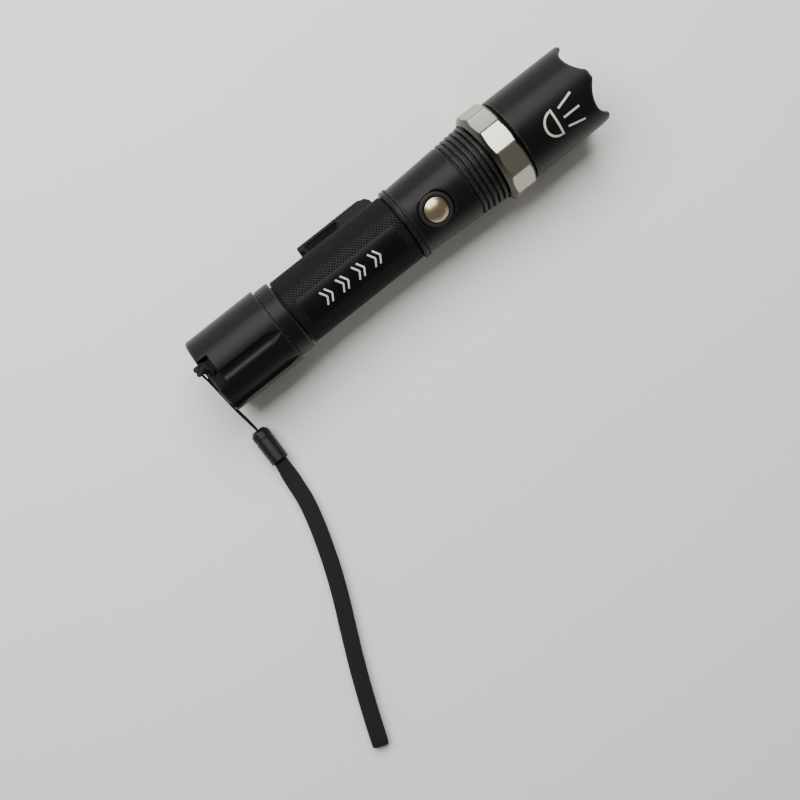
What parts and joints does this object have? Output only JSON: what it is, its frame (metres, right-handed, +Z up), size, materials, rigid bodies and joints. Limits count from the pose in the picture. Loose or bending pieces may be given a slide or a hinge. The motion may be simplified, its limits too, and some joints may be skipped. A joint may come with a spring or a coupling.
{
  "type": "firefighter flashlight",
  "caption": "Handheld zoom flashlight with a scalloped sliding head, faceted grip ring, finned neck, side button, knurled tube, clip, fluted tail cap and wrist lanyard.",
  "frame": {"origin": "centre of the light's own footprint, without its lanyard, on the surface that it lies on: one flat of the grip ring rests there", "axes": "+X along the light's axis from the tail to the lens, +Z up, and the lanyard lies towards -Y"},
  "size_m": [0.1959, 0.1504, 0.0332],
  "materials": {
    "black_anodised": "black satin hard anodising",
    "knurled_black": "black anodising over a fine diamond knurl",
    "polished_ring": "polished bare metal flats",
    "button_steel": "satin turned dome",
    "spring_steel": "drawn wire",
    "screw_steel": "blackened steel screws",
    "brass_parts": "turned brass",
    "rubber_seals": "matt black rubber",
    "lens_clear": "clear optical lens",
    "circuit_board": "green glass-fibre board",
    "white_board": "white coated parts",
    "emitter_yellow": "phosphor under a clear dome",
    "cell_wrap": "blue shrink wrap",
    "wire_cover": "silicone wire cover",
    "webbing_black": "woven black webbing and cord",
    "ferrule_black": "moulded black sleeve"
  },
  "bodies": {
    "barrel": {"battery_tube": "knurled_black", "tube_oring": "rubber_seals", "pocket_clip": "black_anodised", "clip_screw_1": "screw_steel", "clip_screw_2": "screw_steel", "switch_housing": "black_anodised", "switch_gasket": "rubber_seals", "micro_switch": "ferrule_black", "switch_board": "circuit_board", "contact_board": "circuit_board", "contact_spring": "spring_steel", "wire_positive": "wire_cover", "wire_negative": "wire_cover", "finned_neck": "black_anodised", "head_oring_rear": "rubber_seals", "head_oring_front": "rubber_seals", "led_pill": "brass_parts", "driver_board": "circuit_board", "led_board": "white_board", "led_emitter": "emitter_yellow", "led_gasket": "white_board"},
    "head": {"head_sleeve": "black_anodised", "grip_ring": "polished_ring", "lens": "lens_clear", "lens_oring": "rubber_seals", "lens_retainer": "black_anodised"},
    "button": {"switch_button": "button_steel", "switch_plunger": "brass_parts"},
    "battery": {"battery_cell": "cell_wrap", "battery_insulator": "white_board", "battery_positive_cap": "button_steel"},
    "tail_cap": {"tail_cap": "black_anodised", "tail_contact_plate": "brass_parts", "tail_retaining_ring": "brass_parts", "tail_spring": "spring_steel", "lanyard_cord": "webbing_black", "lanyard_ferrule": "ferrule_black", "lanyard_strap": "webbing_black"}
  },
  "joints": [
    {"name": "head_zoom", "type": "slide", "parent": "barrel", "child": "head", "axis": [1, 0, 0], "range_m": [0, 0.009]},
    {"name": "button_press", "type": "slide", "parent": "barrel", "child": "button", "axis": [0, 0.3907, -0.9205], "range_m": [0, 0.0008], "stiffness_N_per_m": 1500, "springref_m": -0.001},
    {"name": "battery_travel", "type": "slide", "parent": "barrel", "child": "battery", "axis": [-1, 0, 0], "range_m": [0, 0.006]},
    {"name": "tail_cap_turn", "type": "hinge", "parent": "battery", "child": "tail_cap", "pos_m": [-0.0629, 0, 0.01661], "axis": [-1, 0, 0], "range_deg": [0, 1440]}
  ],
  "couplings": [
    {"joint": "battery_travel", "follows": "tail_cap_turn", "m_per_rad": 0.0002387}
  ]
}
